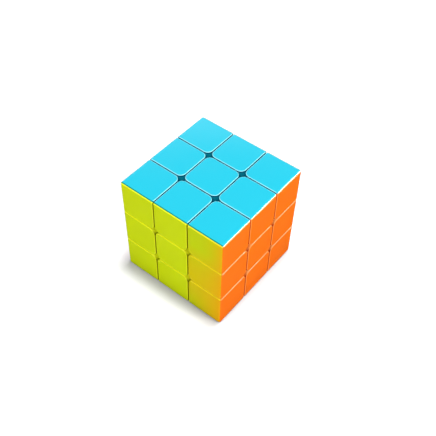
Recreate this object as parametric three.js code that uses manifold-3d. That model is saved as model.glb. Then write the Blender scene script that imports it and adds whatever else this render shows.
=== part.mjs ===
// A stickerless twisty puzzle cube of three layers a side, in millimetres. +Z is up, the origin is the
// centre of the core, and the cube lies on its bottom face.
//
// Every face turns about its own axis. Outside the running sphere the pieces are cut by the layer
// planes, which gives six centres, twelve edges and eight corners. Inside the sphere a narrower set of
// planes cuts the feet, so a corner's foot hooks under the edges, an edge's foot hooks under the
// centres, and a sprung screw holds each centre to an arm of the core.

import * as THREE from 'three';
import { mergeVertices } from 'three/addons/utils/BufferGeometryUtils.js';
import Module from 'manifold-3d';

const wasm = await Module();
wasm.setup();

// Driving dimensions
const cubeSide = 56;
const layerGap = 0.36;            // between two layers, across the cut
const runningRadius = 23;         // the sphere that the outer pieces slide on
const runningGap = 0.5;           // between the outer pieces and the feet, across that sphere
const footPlane = 5;              // from the core's centre plane to the side of a corner's foot
const footInnerRadius = 16.5;     // where the feet end, towards the core
const wall = 1.5;                 // thickness of the hollow shells
const facetRound = 3;             // rounding of a facet's corner where four pieces meet
const facetBevel = 0.45;          // bevel round every facet
const fitGap = 0.3;               // between two pieces that touch
const capThickness = 2;
const capLegLength = 1.4;
const capLegWidth = 5;
const postRadius = 4.4;           // the tube of a centre housing, which holds the spring
const postFloor = 1.5;            // the spring's seat at the foot of that tube
const postGap = 0.4;              // from the end of the core's arm to that tube
const springBore = 3.3;
const springRadius = 2.5;         // to the middle of the wire
const springWire = 0.4;           // radius of the wire
const springTurns = 4;
const springLength = 6.6;
const washerThickness = 0.6;
const washerRadius = 3;
const screwShankRadius = 1.2;
const screwHeadRadius = 2.8;
const screwHeadHeight = 1.9;
const screwSlotWidth = 0.8;
const screwTip = 5.5;
const armRadius = 3.6;
const armLength = 12.6;
const coreRadius = 6.5;
const pegRadius = 2.6;            // the peg of a corner's foot
const neckSide = 8.4;             // the square neck between an edge's shell and its foot
const edgeBoreRadius = 2.4;       // the hollow up through an edge's foot

// Steps that round shapes are made of
const roundSteps = 3;
const smallRoundSides = 12;
const postSides = 14;
const fineSphere = 4;
const coarseSphere = 2;
const wireSides = 5;
const springStepsPerTurn = 8;

// Worked out from the driving dimensions
const half = cubeSide / 2;
const layerPlane = cubeSide / 6;
const outerSide = layerPlane + layerGap / 2;    // where an edge or corner begins, past the cut
const innerSide = layerPlane - layerGap / 2;    // where a centre ends, before the cut
const footOuterSide = footPlane + layerGap / 2;
const footInnerSide = footPlane - layerGap / 2;
const shellFloor = runningRadius + runningGap / 2;
const footTop = runningRadius - runningGap / 2;
const housingTop = half - capThickness - fitGap;
const postBottom = armLength + postGap;
const springSeat = postBottom + postFloor;
const washerBottom = springSeat + springLength + fitGap;
const screwHeadBottom = washerBottom + washerThickness + fitGap;
const quarterTurn = Math.PI / 2;

const plasticColours = {
  top: 0x36dcf8,
  front: 0xc8d400,
  right: 0xff7810,
  bottom: 0x1fb04c,
  left: 0xd9202c,
  back: 0xf2f3f0,
};
const coreColour = 0x2a2b2d;
const steelColour = 0xb9bdc2;

// Solids for joining and cutting

function solid(geometry) {
  const bare = geometry.clone();
  bare.deleteAttribute('normal');
  bare.deleteAttribute('uv');
  const merged = mergeVertices(bare);
  return new wasm.Manifold(new wasm.Mesh({
    numProp: 3,
    vertProperties: new Float32Array(merged.attributes.position.array),
    triVerts: new Uint32Array(merged.index.array),
  }));
}

function geometryOf(body) {
  const mesh = body.getMesh();
  const geometry = new THREE.BufferGeometry();
  geometry.setAttribute('position', new THREE.BufferAttribute(mesh.vertProperties.slice(), 3));
  geometry.setIndex(new THREE.BufferAttribute(mesh.triVerts.slice(), 1));
  geometry.computeVertexNormals();
  return geometry;
}

function box(low, high) {
  const size = high.map((value, i) => value - low[i]);
  const middle = high.map((value, i) => (value + low[i]) / 2);
  return solid(new THREE.BoxGeometry(...size).translate(...middle));
}

function ball(radius, detail) {
  return solid(new THREE.IcosahedronGeometry(radius, detail));
}

// A round bar along +Z from one height to another.
function barGeometry(radius, bottom, top, sides) {
  const bar = new THREE.CylinderGeometry(radius, radius, top - bottom, sides);
  return bar.rotateX(quarterTurn).translate(0, 0, (top + bottom) / 2);
}

function bar(radius, bottom, top, sides = smallRoundSides) {
  return solid(barGeometry(radius, bottom, top, sides));
}

// A round bar that starts at a distance from the origin and runs outwards along a direction.
function barAlong(direction, radius, start, end) {
  const turn = new THREE.Quaternion().setFromUnitVectors(
    new THREE.Vector3(0, 0, 1),
    new THREE.Vector3(...direction).normalize(),
  );
  return solid(barGeometry(radius, start, end, smallRoundSides).applyQuaternion(turn));
}

// A body of revolution about +Z, from [radius, height] pairs that run up its outside.
function turned(profile, sides = smallRoundSides) {
  const points = profile.map(([radius, height]) => new THREE.Vector2(radius, height));
  return solid(new THREE.LatheGeometry(points, sides).rotateX(quarterTurn));
}

// Facet outlines and prisms

// A rectangle with a rounding of its own at each corner, anticlockwise from the lowest x and y.
function roundedRectangle([x0, y0], [x1, y1], roundings) {
  const corners = [[x0, y0], [x1, y0], [x1, y1], [x0, y1]];
  const points = [];
  corners.forEach(([x, y], i) => {
    const radius = roundings[i];
    const centreX = x === x0 ? x + radius : x - radius;
    const centreY = y === y0 ? y + radius : y - radius;
    const steps = radius > 0 ? roundSteps : 0;
    for (let k = 0; k <= steps; k++) {
      const angle = Math.PI + (i + k / roundSteps) * quarterTurn;
      points.push(new THREE.Vector2(
        centreX + radius * Math.cos(angle),
        centreY + radius * Math.sin(angle),
      ));
    }
  });
  return new THREE.Shape(points);
}

function prismGeometry(outline, bottom, top) {
  const settings = { depth: top - bottom, bevelEnabled: false };
  return new THREE.ExtrudeGeometry(outline, settings).translate(0, 0, bottom);
}

// A prism that ends in a facet at the cube's surface, with a bevel all round it.
function facetPrismGeometry(outline) {
  const settings = {
    depth: half - 2 * facetBevel,
    bevelThickness: facetBevel,
    bevelSize: facetBevel,
    bevelOffset: -facetBevel,
    bevelSegments: 1,
  };
  return new THREE.ExtrudeGeometry(outline, settings).translate(0, 0, facetBevel);
}

// Turns that carry a piece's top facet to its other facets.
const topToRightAboutCorner = new THREE.Matrix4().set(0, 0, 1, 0, 1, 0, 0, 0, 0, 1, 0, 0, 0, 0, 0, 1);
const topToBackAboutCorner = topToRightAboutCorner.clone().transpose();
const topToRightAboutEdge = new THREE.Matrix4().set(0, 0, 1, 0, 0, -1, 0, 0, 1, 0, 0, 0, 0, 0, 0, 1);

// The foot that runs under the neighbouring pieces, between the core's space and the running sphere.
function foot(low, high) {
  return box(low, high).intersect(ball(footTop, fineSphere)).subtract(ball(footInnerRadius, coarseSphere));
}

// Corners, modelled at the top, back and right

function cornerShell() {
  const facet = facetPrismGeometry(roundedRectangle(
    [outerSide, outerSide],
    [half, half],
    [facetRound, 0, 0, 0],
  ));
  const block = solid(facet)
    .intersect(solid(facet.clone().applyMatrix4(topToRightAboutCorner)))
    .intersect(solid(facet.clone().applyMatrix4(topToBackAboutCorner)));
  const inner = outerSide + wall;
  const outer = half - wall;
  const hollow = box([inner, inner, inner], [outer, outer, outer])
    .subtract(ball(shellFloor + wall, coarseSphere));
  const pegHole = barAlong([1, 1, 1], pegRadius + fitGap, runningRadius - wall, shellFloor + 2 * wall);
  return block.subtract(ball(shellFloor, fineSphere)).subtract(hollow).subtract(pegHole);
}

function cornerFoot() {
  const low = [footOuterSide, footOuterSide, footOuterSide];
  const peg = barAlong([1, 1, 1], pegRadius, runningRadius - wall, shellFloor + 3 * wall);
  return foot(low, [half, half, half]).add(peg);
}

// Edges, modelled at the top and right

function edge() {
  const facet = facetPrismGeometry(roundedRectangle(
    [outerSide, -innerSide],
    [half, innerSide],
    [facetRound, 0, 0, facetRound],
  ));
  const block = solid(facet).intersect(solid(facet.clone().applyMatrix4(topToRightAboutEdge)));
  const inner = outerSide + wall;
  const outer = half - wall;
  const hollow = box([inner, wall - innerSide, inner], [outer, innerSide - wall, outer])
    .subtract(ball(shellFloor + wall, coarseSphere));
  const shell = block.subtract(ball(shellFloor, fineSphere)).subtract(hollow);
  const neckHeight = runningGap + 2 * wall;
  const neck = solid(
    new THREE.BoxGeometry(neckSide, neckSide, neckHeight)
      .translate(0, 0, runningRadius)
      .rotateY(quarterTurn / 2),
  );
  const bore = barAlong([1, 0, 1], edgeBoreRadius, footInnerRadius - wall, shellFloor + 2 * wall);
  return shell
    .add(neck)
    .add(foot([footOuterSide, -footInnerSide, footOuterSide], [half, footInnerSide, half]))
    .subtract(bore);
}

// Centres, modelled at the top

function centreOutline(inset) {
  const side = innerSide - inset;
  return roundedRectangle([-side, -side], [side, side], Array(4).fill(facetRound - inset));
}

function centreHousing() {
  const block = solid(prismGeometry(centreOutline(0), postBottom, housingTop))
    .subtract(ball(shellFloor, fineSphere));
  const pocket = solid(prismGeometry(centreOutline(wall), postBottom, half))
    .subtract(ball(shellFloor + wall, coarseSphere));
  return block
    .subtract(pocket)
    .add(bar(postRadius, postBottom, housingTop - wall / 2, postSides))
    .subtract(bar(springBore, springSeat, half, postSides))
    .subtract(bar(screwShankRadius + fitGap, postBottom - 1, half));
}

function centreCap() {
  const plate = solid(facetPrismGeometry(centreOutline(0)))
    .subtract(box([-half, -half, -1], [half, half, half - capThickness]));
  const legOuter = innerSide - wall - fitGap;
  const legInner = legOuter - wall / 2;
  const legTop = half - capThickness / 2;
  const legBottom = half - capThickness - capLegLength;
  const across = capLegWidth / 2;
  return plate
    .add(box([legInner, -across, legBottom], [legOuter, across, legTop]))
    .add(box([-legOuter, -across, legBottom], [-legInner, across, legTop]))
    .add(box([-across, legInner, legBottom], [across, legOuter, legTop]))
    .add(box([-across, -legOuter, legBottom], [across, -legInner, legTop]));
}

function screw() {
  const headTop = screwHeadBottom + screwHeadHeight;
  const body = turned([
    [0, screwTip],
    [screwShankRadius, screwTip + screwShankRadius],
    [screwShankRadius, screwHeadBottom],
    [screwHeadRadius, screwHeadBottom],
    [screwHeadRadius, headTop - screwHeadHeight / 3],
    [screwHeadRadius * 0.7, headTop],
    [0, headTop],
  ]);
  const slotLength = screwHeadRadius * 0.6;
  const slotWidth = screwSlotWidth / 2;
  const slotFloor = headTop - screwHeadHeight / 2;
  return body
    .subtract(box([-slotLength, -slotWidth, slotFloor], [slotLength, slotWidth, half]))
    .subtract(box([-slotWidth, -slotLength, slotFloor], [slotWidth, slotLength, half]));
}

function washer() {
  const top = washerBottom + washerThickness;
  const inner = screwShankRadius + fitGap;
  return turned([
    [inner, washerBottom],
    [washerRadius, washerBottom],
    [washerRadius, top],
    [inner, top],
    [inner, washerBottom],
  ]);
}

class Helix extends THREE.Curve {
  getPoint(t, target = new THREE.Vector3()) {
    const angle = 2 * Math.PI * springTurns * t;
    const bottom = springSeat + fitGap + springWire;
    const rise = springLength - fitGap - 2 * springWire;
    return target.set(springRadius * Math.cos(angle), springRadius * Math.sin(angle), bottom + rise * t);
  }
}

function spring() {
  const section = Array.from({ length: wireSides }, (_, i) => {
    const angle = 2 * Math.PI * i / wireSides;
    return new THREE.Vector2(springWire * Math.cos(angle), springWire * Math.sin(angle));
  });
  return solid(new THREE.ExtrudeGeometry(new THREE.Shape(section), {
    extrudePath: new Helix(),
    steps: springTurns * springStepsPerTurn,
    bevelEnabled: false,
  }));
}

// The core: a ball with an arm for every face, each bored for its screw

function coreSpider() {
  const arm = barGeometry(armRadius, -armLength, armLength, smallRoundSides);
  const borePath = barGeometry(screwShankRadius + fitGap, screwTip - fitGap, half, smallRoundSides);
  let spider = ball(coreRadius, coarseSphere);
  spider = spider.add(solid(arm));
  spider = spider.add(solid(arm.clone().rotateX(quarterTurn)));
  spider = spider.add(solid(arm.clone().rotateY(quarterTurn)));
  for (const { tilt, lean } of Object.values(faceTurns)) {
    spider = spider.subtract(solid(borePath.clone().rotateX(tilt).rotateY(lean)));
  }
  return spider;
}

// Where the repeated pieces go. A tilt is a turn about X and a lean one about Y, from the top.

const faceTurns = {
  top: { tilt: 0, lean: 0 },
  bottom: { tilt: 2 * quarterTurn, lean: 0 },
  front: { tilt: quarterTurn, lean: 0 },
  back: { tilt: -quarterTurn, lean: 0 },
  right: { tilt: 0, lean: quarterTurn },
  left: { tilt: 0, lean: -quarterTurn },
};

// A row of four pieces round the Z axis: the tilt that carries the modelled piece into the row, and
// the names of its places, a quarter turn apart.
const edgeRows = [
  { tilt: 0, places: ['top_right', 'top_back', 'top_left', 'top_front'] },
  { tilt: -quarterTurn, places: ['back_right', 'back_left', 'front_left', 'front_right'] },
  { tilt: 2 * quarterTurn, places: ['bottom_right', 'bottom_back', 'bottom_left', 'bottom_front'] },
];

const cornerRows = [
  { tilt: 0, places: ['top_back_right', 'top_back_left', 'top_front_left', 'top_front_right'] },
  {
    tilt: 2 * quarterTurn,
    places: ['bottom_front_right', 'bottom_back_right', 'bottom_back_left', 'bottom_front_left'],
  },
];

function plastic(colour) {
  return new THREE.MeshStandardMaterial({ color: colour, roughness: 0.3, metalness: 0 });
}

function steel() {
  return new THREE.MeshStandardMaterial({ color: steelColour, roughness: 0.35, metalness: 1 });
}

function namedMesh(name, geometry, material) {
  const mesh = new THREE.Mesh(geometry, material);
  mesh.name = name;
  return mesh;
}

// Each edge and corner takes the colour of the first face in its place's name.
function placeRows(rows, kinds) {
  const pieces = new THREE.Group();
  for (const { tilt, places } of rows) {
    places.forEach((place, i) => {
      const holder = new THREE.Group();
      holder.rotation.set(tilt, 0, i * quarterTurn, 'ZYX');
      const colour = plasticColours[place.split('_')[0]];
      for (const { prefix, geometry } of kinds) {
        holder.add(namedMesh(`${prefix}_${place}`, geometry, plastic(colour)));
      }
      pieces.add(holder);
    });
  }
  return pieces;
}

function placeCentres() {
  const pieces = new THREE.Group();
  const screwGeometry = geometryOf(screw());
  const springGeometry = geometryOf(spring());
  const washerGeometry = geometryOf(washer());
  const housingGeometry = geometryOf(centreHousing());
  const capGeometry = geometryOf(centreCap());
  for (const [face, { tilt, lean }] of Object.entries(faceTurns)) {
    const holder = new THREE.Group();
    holder.rotation.set(tilt, lean, 0);
    holder.add(namedMesh(`screw_${face}`, screwGeometry, steel()));
    holder.add(namedMesh(`spring_${face}`, springGeometry, steel()));
    holder.add(namedMesh(`washer_${face}`, washerGeometry, steel()));
    holder.add(namedMesh(`centre_housing_${face}`, housingGeometry, plastic(plasticColours[face])));
    holder.add(namedMesh(`centre_cap_${face}`, capGeometry, plastic(plasticColours[face])));
    pieces.add(holder);
  }
  return pieces;
}

const group = new THREE.Group();
group.add(namedMesh('core_spider', geometryOf(coreSpider()), plastic(coreColour)));
group.add(placeCentres());
group.add(placeRows(edgeRows, [{ prefix: 'edge', geometry: geometryOf(edge()) }]));
group.add(placeRows(cornerRows, [
  { prefix: 'corner', geometry: geometryOf(cornerShell()) },
  { prefix: 'corner_foot', geometry: geometryOf(cornerFoot()) },
]));

export default group;
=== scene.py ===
"""The looks of the twisty puzzle cube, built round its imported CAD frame."""

import math

import bmesh
import bpy
from mathutils import Matrix, Vector


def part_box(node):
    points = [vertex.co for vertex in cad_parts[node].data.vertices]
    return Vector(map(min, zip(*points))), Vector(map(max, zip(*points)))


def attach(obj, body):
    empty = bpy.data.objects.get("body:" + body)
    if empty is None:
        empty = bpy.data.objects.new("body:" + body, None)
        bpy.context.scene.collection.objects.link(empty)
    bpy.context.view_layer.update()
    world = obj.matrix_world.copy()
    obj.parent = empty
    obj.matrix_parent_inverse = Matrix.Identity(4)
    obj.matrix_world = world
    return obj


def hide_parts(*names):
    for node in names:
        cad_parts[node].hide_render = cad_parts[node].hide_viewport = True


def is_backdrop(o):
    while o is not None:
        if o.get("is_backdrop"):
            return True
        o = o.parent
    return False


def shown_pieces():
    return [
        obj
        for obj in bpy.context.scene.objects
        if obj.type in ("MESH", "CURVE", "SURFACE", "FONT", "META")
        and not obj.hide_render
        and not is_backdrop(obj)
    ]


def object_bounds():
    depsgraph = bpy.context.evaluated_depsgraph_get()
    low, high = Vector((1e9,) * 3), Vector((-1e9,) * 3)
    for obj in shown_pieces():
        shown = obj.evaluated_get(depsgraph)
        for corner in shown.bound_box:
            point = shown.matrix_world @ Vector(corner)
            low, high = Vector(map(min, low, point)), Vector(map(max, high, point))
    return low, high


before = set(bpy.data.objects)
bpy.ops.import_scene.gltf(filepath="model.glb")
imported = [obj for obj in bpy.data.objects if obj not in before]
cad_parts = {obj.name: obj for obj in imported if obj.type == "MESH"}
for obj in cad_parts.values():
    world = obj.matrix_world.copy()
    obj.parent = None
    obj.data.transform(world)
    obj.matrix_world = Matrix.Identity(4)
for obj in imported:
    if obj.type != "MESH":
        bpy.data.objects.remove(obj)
cad_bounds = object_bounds()

# ---------------------------------------------------------------- dimensions, metres

MM = 0.001

corner_low, corner_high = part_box("corner_top_back_right")
HALF = corner_high.x                          # half of the cube's side
OUTER = corner_low.x                          # where an edge or a corner begins, past the cut
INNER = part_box("centre_cap_top")[1].x         # where a centre ends, before the cut
SHELL_FLOOR = 23.25 * MM                      # radius of the hollow under the outer shells
FOOT_TOP = 22.75 * MM                         # radius of the outside of the feet
FOOT_BOTTOM = 16.5 * MM                       # radius of the hollow under the feet
FOOT_START = 5.18 * MM                        # where an edge's foot begins, from the core's middle
FOOT_HALF_WIDTH = 4.82 * MM
NECK_SIDE = 8.4 * MM                          # the square neck between an edge's shell and its foot
EDGE_BORE = 2.4 * MM                          # radius of the hollow up through an edge's foot
FACET_ROUND = 3.0 * MM                        # rounding of a facet's corner where four facets meet
SEAM_BEVEL = 0.58 * MM
RIDGE_BEVEL = 1.10 * MM                       # along the cube's twelve outer edges
MOULD_LINE = 0.06 * MM                        # joint between two coloured mouldings of one piece
CAP_THICKNESS = 2.0 * MM
CAP_JOINT = 0.05 * MM
POST_RADIUS = 4.4 * MM                        # the tube of a centre's housing, round its spring
POST_BOTTOM = 13.0 * MM                       # heights are from the core's middle
SPRING_BORE = 3.3 * MM
SPRING_SEAT = 14.15 * MM                      # leaves room for the spring when a centre gives
SHANK_BORE = 1.5 * MM                         # radius of the hole for the screw's shank
HOUSING_LID = 1.0 * MM                        # from the cap down to the end of the spring's bore
OVERLAP = 1.0 * MM                            # how far a joined or cutting solid runs into its neighbour

ROUND_STEPS = 10
BEVEL_STEPS = 6
BALL_DETAIL = 5
ROD_SIDES = 48
SHARP = math.radians(35)
TOUCHING = 1e-7                               # two places this close are the same one
CUT_TOLERANCE = 1e-8

FACES = {
    "top": Vector((0, 0, 1)),
    "bottom": Vector((0, 0, -1)),
    "front": Vector((0, -1, 0)),
    "back": Vector((0, 1, 0)),
    "right": Vector((1, 0, 0)),
    "left": Vector((-1, 0, 0)),
}
SLOTS = {
    "top": "cyan_plastic",
    "bottom": "green_plastic",
    "front": "yellow_plastic",
    "back": "white_plastic",
    "right": "orange_plastic",
    "left": "red_plastic",
}

# ---------------------------------------------------------------- mesh tools


def block(low, high):
    """A closed box as a bmesh."""
    bm = bmesh.new()
    bmesh.ops.create_cube(bm, size=1)
    low, high = Vector(low), Vector(high)
    for v in bm.verts:
        v.co = Vector((low[i] if v.co[i] < 0 else high[i] for i in range(3)))
    return bm


def bevel(bm, edges, width, steps):
    """Rounds these edges off."""
    bmesh.ops.bevel(
        bm,
        geom=list(edges),
        offset=width,
        offset_type="OFFSET",
        segments=steps,
        profile=0.5,
        affect="EDGES",
        clamp_overlap=False,
    )


def middle(edge):
    return (edge.verts[0].co + edge.verts[1].co) / 2


def is_sharp(edge):
    return edge.is_manifold and edge.calc_face_angle() > SHARP


def on_ridge(edge):
    """True for an edge that lies along two of the cube's outside planes."""
    return sum(all(abs(v.co[i] - HALF) < TOUCHING for v in edge.verts) for i in range(3)) > 1


def soften(bm):
    """Bevels the ridges, and then all that is still sharp."""
    bevel(bm, [e for e in bm.edges if on_ridge(e)], RIDGE_BEVEL, BEVEL_STEPS)
    bevel(bm, [e for e in bm.edges if is_sharp(e)], SEAM_BEVEL, BEVEL_STEPS)


def mesh_of(bm, name):
    """The mesh that a bmesh holds, with its faces pointing out."""
    bmesh.ops.recalc_face_normals(bm, faces=bm.faces[:])
    mesh = bpy.data.meshes.new(name)
    bm.to_mesh(mesh)
    bm.free()
    return mesh


def ball(radius):
    bm = bmesh.new()
    bmesh.ops.create_icosphere(bm, subdivisions=BALL_DETAIL, radius=radius)
    return mesh_of(bm, "ball")


def rod(radius, bottom, top, direction=(0, 0, 1)):
    """A round bar along a direction from the core's middle."""
    bm = bmesh.new()
    bmesh.ops.create_cone(
        bm, cap_ends=True, segments=ROD_SIDES, radius1=radius, radius2=radius, depth=top - bottom
    )
    turn = Vector(direction).to_track_quat("Z", "Y").to_matrix().to_4x4()
    bm.transform(turn @ Matrix.Translation((0, 0, (top + bottom) / 2)))
    return mesh_of(bm, "rod")


def combined(mesh, steps):
    """mesh after a row of booleans, each an operation and another mesh."""
    subject = bpy.data.objects.new("subject", mesh)
    bpy.context.scene.collection.objects.link(subject)
    tools = []
    for operation, other in steps:
        tool = bpy.data.objects.new("tool", other)
        bpy.context.scene.collection.objects.link(tool)
        tools.append(tool)
        modifier = subject.modifiers.new("boolean", "BOOLEAN")
        modifier.operation = operation
        modifier.solver = "EXACT"
        modifier.object = tool
    graph = bpy.context.evaluated_depsgraph_get()
    made = bpy.data.meshes.new_from_object(subject.evaluated_get(graph))
    for o in [subject, *tools]:
        bpy.data.objects.remove(o)
    return made


def cut_by_plane(bm, point, normal):
    """Keeps the side that normal points to, and closes the cut."""
    bmesh.ops.bisect_plane(
        bm,
        geom=bm.verts[:] + bm.edges[:] + bm.faces[:],
        dist=CUT_TOLERANCE,
        plane_co=point,
        plane_no=normal,
        clear_inner=True,
    )
    bmesh.ops.holes_fill(bm, edges=[e for e in bm.edges if e.is_boundary], sides=0)


def moulding(mesh, normals, name):
    """The part of a shell that one coloured moulding makes up, on the positive side of the planes
    through the core's middle with these normals."""
    bm = bmesh.new()
    bm.from_mesh(mesh)
    for normal in normals:
        normal = Vector(normal).normalized()
        cut_by_plane(bm, normal * MOULD_LINE / 2, normal)
    return mesh_of(bm, name)


# ---------------------------------------------------------------- the pieces, where the CAD models them


def corner_block():
    """A solid corner, at the top, back and right."""
    bm = block((OUTER,) * 3, (HALF,) * 3)
    root = min(bm.verts, key=lambda v: v.co.length)
    bevel(bm, root.link_edges, FACET_ROUND, ROUND_STEPS)
    soften(bm)
    return mesh_of(bm, "corner_block")


def edge_block():
    """A solid edge, at the top and right."""
    bm = block((OUTER, -INNER, OUTER), (HALF, INNER, HALF))
    rounded = [
        e
        for e in bm.edges
        if abs(abs(middle(e).y) - INNER) < TOUCHING
        and min(middle(e).x, middle(e).z) < OUTER + TOUCHING
    ]
    bevel(bm, rounded, FACET_ROUND, ROUND_STEPS)
    soften(bm)
    return mesh_of(bm, "edge_block")


def centre_block(bottom, top):
    """A square bar with round upright edges, at the top."""
    bm = block((-INNER, -INNER, bottom), (INNER, INNER, top))
    upright = [e for e in bm.edges if abs(e.verts[0].co.z - e.verts[1].co.z) > TOUCHING]
    bevel(bm, upright, FACET_ROUND, ROUND_STEPS)
    return bm


def cap_mesh():
    """The cap of the top centre."""
    bm = centre_block(HALF - CAP_THICKNESS, HALF)
    top_edges = [e for e in bm.edges if min(v.co.z for v in e.verts) > HALF - TOUCHING]
    bevel(bm, top_edges, SEAM_BEVEL, BEVEL_STEPS)
    return mesh_of(bm, "cap")


def housing_mesh():
    """The hollow under the top cap, with the post that holds the spring."""
    shell = mesh_of(centre_block(POST_BOTTOM, HALF - CAP_THICKNESS - CAP_JOINT), "housing")
    return combined(
        shell,
        [
            ("DIFFERENCE", ball(SHELL_FLOOR)),
            ("UNION", rod(POST_RADIUS, POST_BOTTOM, SHELL_FLOOR + OVERLAP)),
            ("DIFFERENCE", rod(SPRING_BORE, SPRING_SEAT, HALF - CAP_THICKNESS - HOUSING_LID)),
            ("DIFFERENCE", rod(SHANK_BORE, POST_BOTTOM - OVERLAP, SPRING_SEAT + OVERLAP)),
        ],
    )


def edge_foot_mesh():
    """The foot and neck of the edge at the top and right."""
    slab = block(
        (FOOT_START, -FOOT_HALF_WIDTH, FOOT_START), (HALF, FOOT_HALF_WIDTH, HALF)
    )
    neck = block(
        (-NECK_SIDE / 2, -NECK_SIDE / 2, FOOT_TOP - OVERLAP),
        (NECK_SIDE / 2, NECK_SIDE / 2, SHELL_FLOOR + OVERLAP),
    )
    neck.transform(Matrix.Rotation(math.radians(45), 4, "Y"))
    diagonal = (1, 0, 1)
    bore = rod(EDGE_BORE, FOOT_BOTTOM - 2 * OVERLAP, SHELL_FLOOR + 2 * OVERLAP, diagonal)
    return combined(
        mesh_of(slab, "foot"),
        [
            ("INTERSECT", ball(FOOT_TOP)),
            ("DIFFERENCE", ball(FOOT_BOTTOM)),
            ("UNION", mesh_of(neck, "neck")),
            ("DIFFERENCE", bore),
        ],
    )


corner_shell = combined(corner_block(), [("DIFFERENCE", ball(SHELL_FLOOR))])
edge_shell = combined(edge_block(), [("DIFFERENCE", ball(SHELL_FLOOR))])
corner_moulding = moulding(corner_shell, [(-1, 0, 1), (0, -1, 1)], "corner_moulding")
edge_moulding = moulding(edge_shell, [(-1, 0, 1)], "edge_moulding")
cap = cap_mesh()
housing = housing_mesh()
edge_foot = edge_foot_mesh()

# ---------------------------------------------------------------- materials

# Bands of a facet's edge, as the depths below the cube's outside where a shade starts and is full
FLAT = (0.10 * MM, 0.01 * MM)
RIM = (0.60 * SEAM_BEVEL, 0.40 * SEAM_BEVEL)
CUT_MOUTH = (0.40 * SEAM_BEVEL, 0.18 * SEAM_BEVEL)
SHALLOW = (1.1 * MM, 0.6 * MM)
RIDGE = (RIDGE_BEVEL, 0.8 * RIDGE_BEVEL)
RIDGE_JOINT = (0.45 * MM, 0.9 * MM)           # distances from the middle of a ridge
# heights from the bottom over which the lowest ridges get their painted shadow
UNDERSIDE = (-HALF + 0.5 * RIDGE_BEVEL, -HALF + RIDGE_BEVEL)

# Bands of a surface's slope, as heights of its normal
FACING_UP = (0.10, 0.40)
LYING_FLAT = (0.3, 0.7)

RIDGE_SHADE_SHARE = 0.9                             # share of painted shadow under the lowest ridges and of painted shade along the ridge joints
HIGHLIGHT_LEAST = 0.8                              # share of its full painted highlight that every rim has, as the highlight varies along a rim
CLOUD_SHARE = 0.045
CLOUD_SHADE = 0.7

GLOW_MIDDLE = 0.45                            # share of painted warm glow right across the middle row
GLOW_DROP = 5.0 * MM                          # how far below the core that row's painted glow is centred
GLOW_SPREAD = 0.8 * HALF                      # and how far above and below that it reaches
GLOW_STEEPNESS = (1.4, 3.6)                   # towards the ridge, at the bottom and at the top
GLOW_STRENGTH = (1.0, 0.85)                   # at the bottom and at the top


class Nodes:
    """A material's node tree, written as nested calls."""

    def __init__(self, material):
        self.tree = material.node_tree
        self.tree.nodes.clear()

    def add(self, kind, **settings):
        node = self.tree.nodes.new(kind)
        for name, value in settings.items():
            setattr(node, name, value)
        return node

    def put(self, socket, value):
        if isinstance(value, bpy.types.NodeSocket):
            self.tree.links.new(value, socket)
        else:
            socket.default_value = value

    def feed(self, node, **inputs):
        """Sets or links inputs by name, with _ for a space."""
        for name, value in inputs.items():
            self.put(node.inputs[name.replace("_", " ")], value)
        return node

    def show(self, shader, kind="ShaderNodeOutputMaterial"):
        self.feed(self.add(kind), Surface=shader.outputs[0])

    def math(self, operation, *values):
        node = self.add("ShaderNodeMath", operation=operation)
        for socket, value in zip(node.inputs, values):
            self.put(socket, value)
        return node.outputs[0]

    def over_all(self, operation, first, *others):
        """One operation carried on over a row of values."""
        for other in others:
            first = self.math(operation, first, other)
        return first

    def axes(self, vector):
        node = self.add("ShaderNodeSeparateXYZ")
        self.put(node.inputs[0], vector)
        return node.outputs[:]

    def moved(self, vector, by):
        node = self.add("ShaderNodeVectorMath", operation="ADD")
        self.put(node.inputs[0], vector)
        self.put(node.inputs[1], by)
        return node.outputs[0]

    def ramp(self, value, low, high, to_low=0.0, to_high=1.0, smooth=False):
        node = self.add("ShaderNodeMapRange")
        if smooth:
            node.interpolation_type = "SMOOTHSTEP"
        self.feed(
            node, Value=value, From_Min=low, From_Max=high, To_Min=to_low, To_Max=to_high
        )
        return node.outputs[0]

    def by_depth(self, reach, depths, to_low=0.0, to_high=1.0):
        """A ramp between two depths below the cube's outside."""
        return self.ramp(reach, HALF - depths[0], HALF - depths[1], to_low, to_high)

    def noise(self, place, scale, detail, roughness):
        node = self.add("ShaderNodeTexNoise")
        self.feed(node, Vector=place, Scale=scale, Detail=detail, Roughness=roughness)
        return node.outputs["Fac"]

    def spread(self, noise, to_low=0.0, to_high=1.0):
        """A ramp over the values that most of a noise has."""
        return self.ramp(noise, 0.3, 0.7, to_low, to_high)

    def mix(self, share, a, b):
        node = self.add("ShaderNodeMix", data_type="RGBA")
        self.put(node.inputs[0], share)
        self.put(node.inputs[6], a)
        self.put(node.inputs[7], b)
        return node.outputs[2]


class Surface:
    """Where a point of the cube's surface is, and which way it faces, as a material's nodes."""

    def __init__(self, n):
        coordinates = n.add("ShaderNodeTexCoord")
        self.point = coordinates.outputs["Object"]
        self.x, self.y, self.z = n.axes(self.point)
        self.normal_z = n.axes(coordinates.outputs["Normal"])[2]
        far_x, far_y, far_z = (n.math("ABSOLUTE", axis) for axis in (self.x, self.y, self.z))
        # how far out the point is along its farthest axis, and along its second farthest
        self.reach = n.over_all("MAXIMUM", far_x, far_y, far_z)
        least = n.over_all("MINIMUM", far_x, far_y, far_z)
        total = n.over_all("ADD", far_x, far_y, far_z)
        self.second = n.over_all("SUBTRACT", total, self.reach, least)
        self.front_or_back = n.math("GREATER_THAN", far_y, far_x)
        self.on_ridges = n.by_depth(self.second, RIDGE)
        self.off_ridges = n.math("SUBTRACT", 1.0, self.on_ridges)


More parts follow.
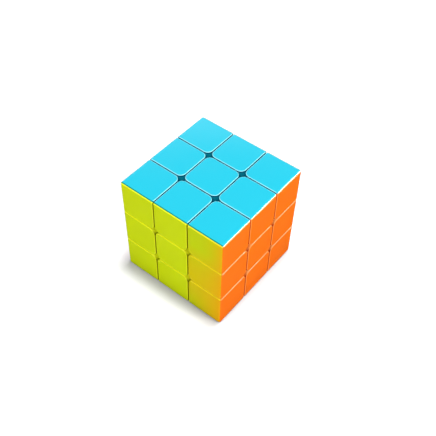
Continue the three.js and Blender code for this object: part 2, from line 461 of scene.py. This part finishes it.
def painted_highlight_mask(n, surface, painted_lit_tops):
    """Where the painted highlight goes: 1 on the bevels along the cuts, 0 on the flats, on the ridges
    and down the walls of the cuts.
    With its flag set it is 1 on all that faces up beside a flat, too, so that those slopes are painted
    lighter, as if lit from above."""
    mask = n.math("MULTIPLY", n.by_depth(surface.reach, RIM), surface.off_ridges)
    # painted light: upward slopes beside a flat take the highlight's colour, as if lit from above
    if painted_lit_tops:
        mask = n.math("MAXIMUM", mask, n.ramp(surface.normal_z, *FACING_UP))
    return n.math("MULTIPLY", n.by_depth(surface.reach, FLAT, 1.0, 0.0), mask)


def cut_shade_mask(n, surface, share):
    """Where the painted shade goes: on the walls that stand upright just inside the cuts, and a painted
    shadow under the lowest ridges.
    """
    in_cut = n.over_all(
        "MULTIPLY",
        n.by_depth(surface.reach, CUT_MOUTH, share, 0.0),
        n.by_depth(surface.reach, SHALLOW),
        n.ramp(n.math("ABSOLUTE", surface.normal_z), *LYING_FLAT, 1.0, 0.0),
        surface.off_ridges,
    )
    # painted shadow under the lowest ridges
    shadow_underneath = n.ramp(surface.z, *UNDERSIDE, RIDGE_SHADE_SHARE, 0.0)
    return n.math("MAXIMUM", in_cut, n.math("MULTIPLY", shadow_underneath, surface.on_ridges))


def ridge_joint_shade_mask(n, surface):
    """Painted shade next to the joints between two mouldings, along the ridges at the front and the
    back.
    """
    off_middle = n.math("SUBTRACT", surface.reach, surface.second)
    near_joint = n.ramp(off_middle, *RIDGE_JOINT, RIDGE_SHADE_SHARE, 0.0)
    return n.over_all("MULTIPLY", near_joint, surface.front_or_back, surface.on_ridges)


def glow_share(n, surface):
    """How much painted warm glow, standing in for orange light cast on it, shows in the right column of
    the front: most towards its ridge and in the middle row."""
    steepness = n.ramp(surface.z, -HALF, HALF, *GLOW_STEEPNESS)
    across = n.math("POWER", n.ramp(surface.x, OUTER, HALF), steepness)
    height = n.math("DIVIDE", n.math("ADD", surface.z, GLOW_DROP), GLOW_SPREAD)
    fall = n.over_all("MULTIPLY", height, height, -GLOW_MIDDLE)
    middle_row = n.math("MAXIMUM", n.math("ADD", fall, GLOW_MIDDLE), 0.0)
    beyond = n.math("MULTIPLY", n.math("SUBTRACT", 1.0, middle_row), across)
    strength = n.ramp(surface.z, -HALF, HALF, *GLOW_STRENGTH)
    return n.math("MULTIPLY", n.math("ADD", middle_row, beyond), strength)


def new_material(name):
    material = bpy.data.materials.new(name)
    material.use_nodes = True
    return material, Nodes(material)


def rgba(colour):
    return (*colour, 1.0)


def finish_shader(n, relief, bump_strength, bump_depth, **values):
    """A principled shader with these values, over a bump of this relief."""
    bump = n.add("ShaderNodeBump")
    n.feed(bump, Strength=bump_strength, Distance=bump_depth, Height=relief)
    shader = n.add("ShaderNodeBsdfPrincipled")
    n.feed(shader, Normal=bump.outputs[0], **values)
    n.show(shader)


def plastic(
    name, colour, highlight_colour, highlight_share, cut_shade, cut_shade_share, offset,
    gloss=0.4, warm=None, joint=None, painted_lit_tops=False,
):
    """Semi-gloss moulded plastic. Over its colour go a paler painted highlight on the bevels along the
    cuts and a darker painted shade on the upright walls just inside the cuts and under the lowest
    ridges, each colour with its share. A flag paints the highlight's colour over all that faces up
    beside a facet as well, as if lit from above. A glow colour, if given, is a painted warm glow that
    the right column of the front takes on towards its ridge. A joint colour, if given, is painted shade
    beside the joints on the ridges at the front and the back. offset shifts the noises, so that no two
    plastics have the same ones."""
    material, n = new_material(name)
    surface = Surface(n)
    place = n.moved(surface.point, (offset, -offset, 2 * offset))
    clouds = n.noise(place, scale=55.0, detail=3.0, roughness=0.55)
    grain = n.noise(place, scale=2600.0, detail=2.0, roughness=0.6)
    flow = n.noise(place, scale=260.0, detail=3.0, roughness=0.5)
    scuffs = n.ramp(n.noise(place, scale=900.0, detail=4.0, roughness=0.7), 0.52, 0.72)
    highlit = painted_highlight_mask(n, surface, painted_lit_tops)

    shade = rgba(colour)
    # painted warm glow in the right column of the front
    if warm:
        shade = n.mix(glow_share(n, surface), shade, rgba(warm))
    cloud_colour = rgba([c * CLOUD_SHADE for c in colour])
    shade = n.mix(n.spread(clouds, 0.0, CLOUD_SHARE), shade, cloud_colour)
    # painted highlight on the bevels along the cuts, uneven along them
    highlight_strength = n.spread(flow, HIGHLIGHT_LEAST * highlight_share, highlight_share)
    shade = n.mix(n.math("MULTIPLY", highlit, highlight_strength), shade, rgba(highlight_colour))
    # painted shade inside the cuts and painted shadow under the lowest ridges
    shade = n.mix(cut_shade_mask(n, surface, cut_shade_share), shade, rgba(cut_shade))
    # painted shade along the joints of the front and back ridges
    if joint:
        shade = n.mix(ridge_joint_shade_mask(n, surface), shade, rgba(joint))

    scuffed = n.math("MULTIPLY", scuffs, n.ramp(highlit, 0.0, 1.0, 0.03, 0.12))
    roughness = n.math("ADD", n.spread(clouds, 0.15, 0.20), scuffed)
    relief = n.math("ADD", n.math("MULTIPLY", grain, 0.35), n.math("MULTIPLY", flow, 0.65))
    finish_shader(
        n, relief, bump_strength=0.12, bump_depth=0.02 * MM,
        Base_Color=shade, Roughness=roughness, IOR=1.5, Specular_IOR_Level=gloss,
    )
    return material


def core_look():
    """Satin charcoal plastic of the core and the feet, with faint mould flow and grease smears."""
    material, n = new_material("core_plastic_look")
    place = n.add("ShaderNodeTexCoord").outputs["Object"]
    clouds = n.noise(place, scale=90.0, detail=3.0, roughness=0.55)
    flow = n.noise(place, scale=420.0, detail=4.0, roughness=0.6)
    grain = n.noise(place, scale=3200.0, detail=2.0, roughness=0.6)
    smears = n.ramp(n.noise(place, scale=180.0, detail=4.0, roughness=0.65), 0.55, 0.7)
    shade = n.mix(n.spread(clouds), rgba(CHARCOAL_DARK), rgba(CHARCOAL_PALE))
    roughness = n.math("SUBTRACT", n.spread(flow, 0.42, 0.52), n.math("MULTIPLY", smears, 0.2))
    relief = n.math("ADD", n.math("MULTIPLY", grain, 0.5), flow)
    finish_shader(
        n, relief, bump_strength=0.15, bump_depth=0.02 * MM,
        Base_Color=shade, Roughness=roughness, IOR=1.5,
    )
    return material


def steel_look():
    """Zinc-plated steel, with drawing lines and dull spots."""
    material, n = new_material("steel_look")
    place = n.add("ShaderNodeTexCoord").outputs["Object"]
    clouds = n.noise(place, scale=700.0, detail=3.0, roughness=0.6)
    lines = n.noise(place, scale=4200.0, detail=2.0, roughness=0.7)
    spots = n.ramp(n.noise(place, scale=1500.0, detail=4.0, roughness=0.7), 0.6, 0.75)
    shade = n.mix(n.spread(clouds), rgba(STEEL_DARK), rgba(STEEL_PALE))
    roughness = n.math("ADD", n.spread(lines, 0.26, 0.36), n.math("MULTIPLY", spots, 0.2))
    finish_shader(
        n, lines, bump_strength=0.12, bump_depth=0.01 * MM,
        Base_Color=shade, Roughness=roughness, Metallic=1.0,
    )
    return material


CYAN = (0.008, 0.466, 0.622)
YELLOW = (0.555, 0.670, 0.001)
# darker yellow of the front's right column: painted shade
SHADED_YELLOW = (0.500, 0.605, 0.001)
ORANGE = (0.970, 0.174, 0.003)
GREEN = (0.004, 0.330, 0.070)
RED = (0.560, 0.012, 0.016)
WHITE = (0.800, 0.810, 0.800)
# the painted warm glow in the front's right column
GLOW_GOLD = (0.810, 0.368, 0.001)
CHARCOAL_DARK = (0.018, 0.019, 0.021)
CHARCOAL_PALE = (0.030, 0.031, 0.034)
STEEL_DARK = (0.52, 0.53, 0.55)
STEEL_PALE = (0.68, 0.69, 0.70)

# In each plastic the first colour is its own, the second a painted highlight on its bevels and the third
# a painted shade in its cuts
plastics = {
    "cyan_plastic": plastic(
        "cyan_plastic_look", CYAN, highlight_colour=(0.42, 0.95, 1.00), highlight_share=0.8,
        cut_shade=(0.0, 0.060, 0.140), cut_shade_share=1.0, offset=0.11, joint=(0.0, 0.200, 0.090),
    ),
    "yellow_plastic": plastic(
        "yellow_plastic_look", YELLOW, highlight_colour=(0.98, 1.00, 0.02), highlight_share=0.9,
        cut_shade=(0.170, 0.180, 0.0), cut_shade_share=0.9, offset=0.23, gloss=0.2, painted_lit_tops=True,
    ),
    "orange_plastic": plastic(
        "orange_plastic_look", ORANGE, highlight_colour=(1.00, 0.58, 0.16), highlight_share=0.6,
        cut_shade=(0.450, 0.010, 0.0), cut_shade_share=0.9, offset=0.37, painted_lit_tops=True,
    ),
    "green_plastic": plastic(
        "green_plastic_look", GREEN, highlight_colour=(0.08, 0.50, 0.16), highlight_share=0.3,
        cut_shade=(0.001, 0.080, 0.018), cut_shade_share=0.7, offset=0.41,
    ),
    "red_plastic": plastic(
        "red_plastic_look", RED, highlight_colour=(0.75, 0.08, 0.06), highlight_share=0.3,
        cut_shade=(0.130, 0.004, 0.005), cut_shade_share=0.7, offset=0.53,
    ),
    "white_plastic": plastic(
        "white_plastic_look", WHITE, highlight_colour=(0.95, 0.95, 0.95), highlight_share=0.3,
        cut_shade=(0.300, 0.300, 0.290), cut_shade_share=0.7, offset=0.67,
    ),
}
# Yellow for the right column of the front: painted darker, with a warmer painted highlight and shade and
# a painted warm glow towards its ridge
shaded_glowing_yellow = plastic(
    "warm_yellow_plastic_look", SHADED_YELLOW, highlight_colour=(1.00, 0.85, 0.02), highlight_share=0.9,
    cut_shade=(0.230, 0.150, 0.0), cut_shade_share=0.9, offset=0.23, gloss=0.2, painted_lit_tops=True,
    warm=GLOW_GOLD,
)
core_material = core_look()
steel_material = steel_look()

# ---------------------------------------------------------------- placing

NORMAL_WEIGHT = 100                           # the most: the flats keep their normals to their edges


def turn_to(up, side):
    """The turn that carries +Z to up and +X to side."""
    return Matrix((side, up.cross(side), up)).transposed().to_4x4()


def place_piece(name, mesh, turn, material, body, nodes):
    """A turned copy of a mesh, which rides on a body and stands for these CAD nodes."""
    mesh = mesh.copy()
    mesh.name = name
    mesh.transform(turn)
    mesh.materials.clear()
    mesh.materials.append(material)
    mesh.shade_smooth()
    mesh.set_sharp_from_angle(angle=SHARP)
    piece = bpy.data.objects.new(name, mesh)
    bpy.context.scene.collection.objects.link(piece)
    weighted = piece.modifiers.new("facet normals", "WEIGHTED_NORMAL")
    weighted.mode = "FACE_AREA"
    weighted.weight = NORMAL_WEIGHT
    weighted.keep_sharp = True
    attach(piece, body)
    if nodes:
        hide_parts(*nodes)


def shell_material(face, place):
    """The plastic of one face's moulding in the piece at a place, a list of faces."""
    # the front's right column takes the yellow with painted shade and painted warm glow
    if face == "front" and "right" in place:
        return shaded_glowing_yellow
    return plastics[SLOTS[face]]


for node in sorted(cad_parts):
    kind, _, place = node.partition("_")
    if kind == "corner" and not place.startswith("foot"):
        faces = place.split("_")
        for face in faces:
            up = FACES[face]
            side, other = (FACES[f] for f in faces if f != face)
            if up.cross(side).dot(other) < 0:
                side = other
            place_piece(
                f"corner_shell_{place}_{face}",
                corner_moulding,
                turn_to(up, side),
                shell_material(face, faces),
                node,
                [node],
            )
    elif kind == "edge":
        faces = place.split("_")
        for face, across in (faces, faces[::-1]):
            place_piece(
                f"edge_shell_{place}_{face}",
                edge_moulding,
                turn_to(FACES[face], FACES[across]),
                shell_material(face, faces),
                node,
                [node],
            )
        place_piece(
            f"edge_foot_{place}",
            edge_foot,
            turn_to(FACES[faces[0]], FACES[faces[1]]),
            core_material,
            node,
            [],
        )

for face, up in FACES.items():
    side = Vector((up.y, up.z, up.x))
    for name, mesh, node in (
        ("facet", cap, f"centre_cap_{face}"),
        ("housing", housing, f"centre_housing_{face}"),
    ):
        place_piece(
            f"centre_{name}_look_{face}",
            mesh,
            turn_to(up, side),
            plastics[SLOTS[face]],
            f"centre_{face}",
            [node],
        )

for name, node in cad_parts.items():
    if name.startswith(("screw", "spring", "washer")):
        look = steel_material
    elif name.startswith(("core", "corner_foot")):
        look = core_material
    else:
        continue
    node.data.materials.clear()
    node.data.materials.append(look)

# ---------------------------------------------------------------- floor, lights, camera

FLOOR_REACH = 6.0
FLOOR_NEAR, FLOOR_NEAR_SHADE = 0.15, 0.45     # darker by the cube, so that little colour bounces back
FLOOR_FAR, FLOOR_FAR_SHADE = 1.0, 0.97
FLOOR_ROUGHNESS = 0.9
SKY_STRENGTH = 0.42
GROUND_STRENGTH = 0.03
HORIZON = (-0.06, 0.02)                       # heights between which the ground gives way to the sky


def floor():
    """A pale matt floor. It shows as white all over, because it has lamps of its own."""
    bm = bmesh.new()
    corners = [(-1, -1), (1, -1), (1, 1), (-1, 1)]
    bm.faces.new(
        [bm.verts.new((x * FLOOR_REACH, y * FLOOR_REACH, cad_bounds[0].z)) for x, y in corners]
    )
    mesh = mesh_of(bm, "floor")
    made = bpy.data.objects.new("floor", mesh)
    bpy.context.scene.collection.objects.link(made)
    material, n = new_material("floor_look")
    away = n.add("ShaderNodeVectorMath", operation="LENGTH")
    n.put(away.inputs[0], n.add("ShaderNodeTexCoord").outputs["Object"])
    shade = n.ramp(
        away.outputs["Value"], FLOOR_NEAR, FLOOR_FAR, FLOOR_NEAR_SHADE, FLOOR_FAR_SHADE, smooth=True
    )
    colour = n.add("ShaderNodeCombineColor")
    n.feed(colour, Red=shade, Green=shade, Blue=shade)
    shader = n.add("ShaderNodeBsdfPrincipled")
    n.feed(
        shader, Base_Color=colour.outputs[0], Roughness=FLOOR_ROUGHNESS, Specular_IOR_Level=0.0
    )
    n.show(shader)
    mesh.materials.append(material)
    made.visible_glossy = False
    made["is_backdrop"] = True
    return made


def soft_light(
    name, direction, distance, size, brightness,
    gloss_only=False, matt_only=False, receivers=None,
):
    """A soft box of a width and height that faces the core from a distance, in metres. brightness
    is that of a white surface turned to it. One that is gloss_only makes highlights and lights
    nothing else, one that is matt_only makes none, and one with receivers lights only those."""
    data = bpy.data.lights.new(name, "AREA")
    data.shape = "RECTANGLE"
    data.size, data.size_y = size
    data.energy = brightness * (math.pi * distance) ** 2
    light = bpy.data.objects.new(name, data)
    bpy.context.scene.collection.objects.link(light)
    toward = Vector(direction).normalized()
    light.location = toward * distance
    light.rotation_mode = "QUATERNION"
    light.rotation_quaternion = toward.to_track_quat("Z", "Y")
    light.visible_camera = False
    light.visible_diffuse = not gloss_only
    light.visible_glossy = not matt_only
    if receivers:
        lit = bpy.data.collections.new(name + "_receivers")
        for piece in receivers:
            lit.objects.link(piece)
        light.light_linking.receiver_collection = lit


def sky():
    """Even light from above the horizon, and little from below it."""
    world = bpy.data.worlds.new("sky")
    world.use_nodes = True
    bpy.context.scene.world = world
    n = Nodes(world)
    height = n.axes(n.add("ShaderNodeTexCoord").outputs["Generated"])[2]
    strength = n.ramp(height, *HORIZON, GROUND_STRENGTH, SKY_STRENGTH)
    background = n.add("ShaderNodeBackground")
    n.feed(background, Color=(1, 1, 1, 1), Strength=strength)
    n.show(background, "ShaderNodeOutputWorld")


def on_top_right_ridge(piece):
    """True for a top or right shell of the row of pieces that the top and the right share."""
    *place, face = piece.name.split("_")
    return {"shell", "top", "right"} <= set(place) and face in ("top", "right")


ground = floor()
cube = [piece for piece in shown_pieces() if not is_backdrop(piece)]
top_right_ridge = [piece for piece in cube if on_top_right_ridge(piece)]

sky()
soft_light("floor_key", (0.02, 0.078, 1.0), 1.0, (0.16, 0.15), 1.75, receivers=[ground])
soft_light("floor_side", (0.90, 0.12, 0.45), 0.8, (0.4, 0.4), 1.8, receivers=[ground])
soft_light("floor_fill", (-0.30, -0.80, 0.55), 0.9, (0.5, 0.5), 0.85, receivers=[ground])
soft_light(
    "overhead_key", (0.055, 0.075, 1.0), 1.0, (0.12, 0.12), 0.75, matt_only=True, receivers=cube
)
soft_light("right_soft", (0.85, 0.25, 0.35), 0.8, (0.4, 0.4), 0.28, receivers=cube)
soft_light("camera_fill", (0.30, -0.60, 0.75), 0.9, (0.3, 0.3), 0.29, receivers=cube)
soft_light("low_glint", (0.85, 0.52, 0.10), 0.6, (0.22, 0.12), 0.7, gloss_only=True)
soft_light(
    "ridge_glint", (0.66, 0.56, 0.44), 0.6, (0.40, 0.28), 4.0,
    gloss_only=True, receivers=top_right_ridge,
)
soft_light("back_sheen", (-0.66, 0.70, 0.40), 0.7, (0.9, 0.5), 0.5, gloss_only=True)

VIEW_AZIMUTH = math.radians(36.92)
VIEW_ELEVATION = math.radians(49.10)
VIEW_DISTANCE = 311.0 * MM
VIEW_ROLL = math.radians(2.0)
VIEW_AIM = Vector((2.45, 2.06, 0.15)) * MM
FOCAL_LENGTH = 55.5
SENSOR_WIDTH = 36.0
CLIP_START = 0.01
CLIP_END = 50.0

camera_data = bpy.data.cameras.new("camera")
camera_data.lens = FOCAL_LENGTH
camera_data.sensor_width = SENSOR_WIDTH
camera_data.clip_start = CLIP_START
camera_data.clip_end = CLIP_END
camera = bpy.data.objects.new("camera", camera_data)
bpy.context.scene.collection.objects.link(camera)
toward_camera = Vector(
    (
        math.sin(VIEW_AZIMUTH) * math.cos(VIEW_ELEVATION),
        -math.cos(VIEW_AZIMUTH) * math.cos(VIEW_ELEVATION),
        math.sin(VIEW_ELEVATION),
    )
)
camera.matrix_world = (
    Matrix.Translation(VIEW_AIM + toward_camera * VIEW_DISTANCE)
    @ toward_camera.to_track_quat("Z", "Y").to_matrix().to_4x4()
    @ Matrix.Rotation(VIEW_ROLL, 4, "Z")
)
bpy.context.scene.camera = camera
bpy.context.scene.view_settings.view_transform = "Standard"
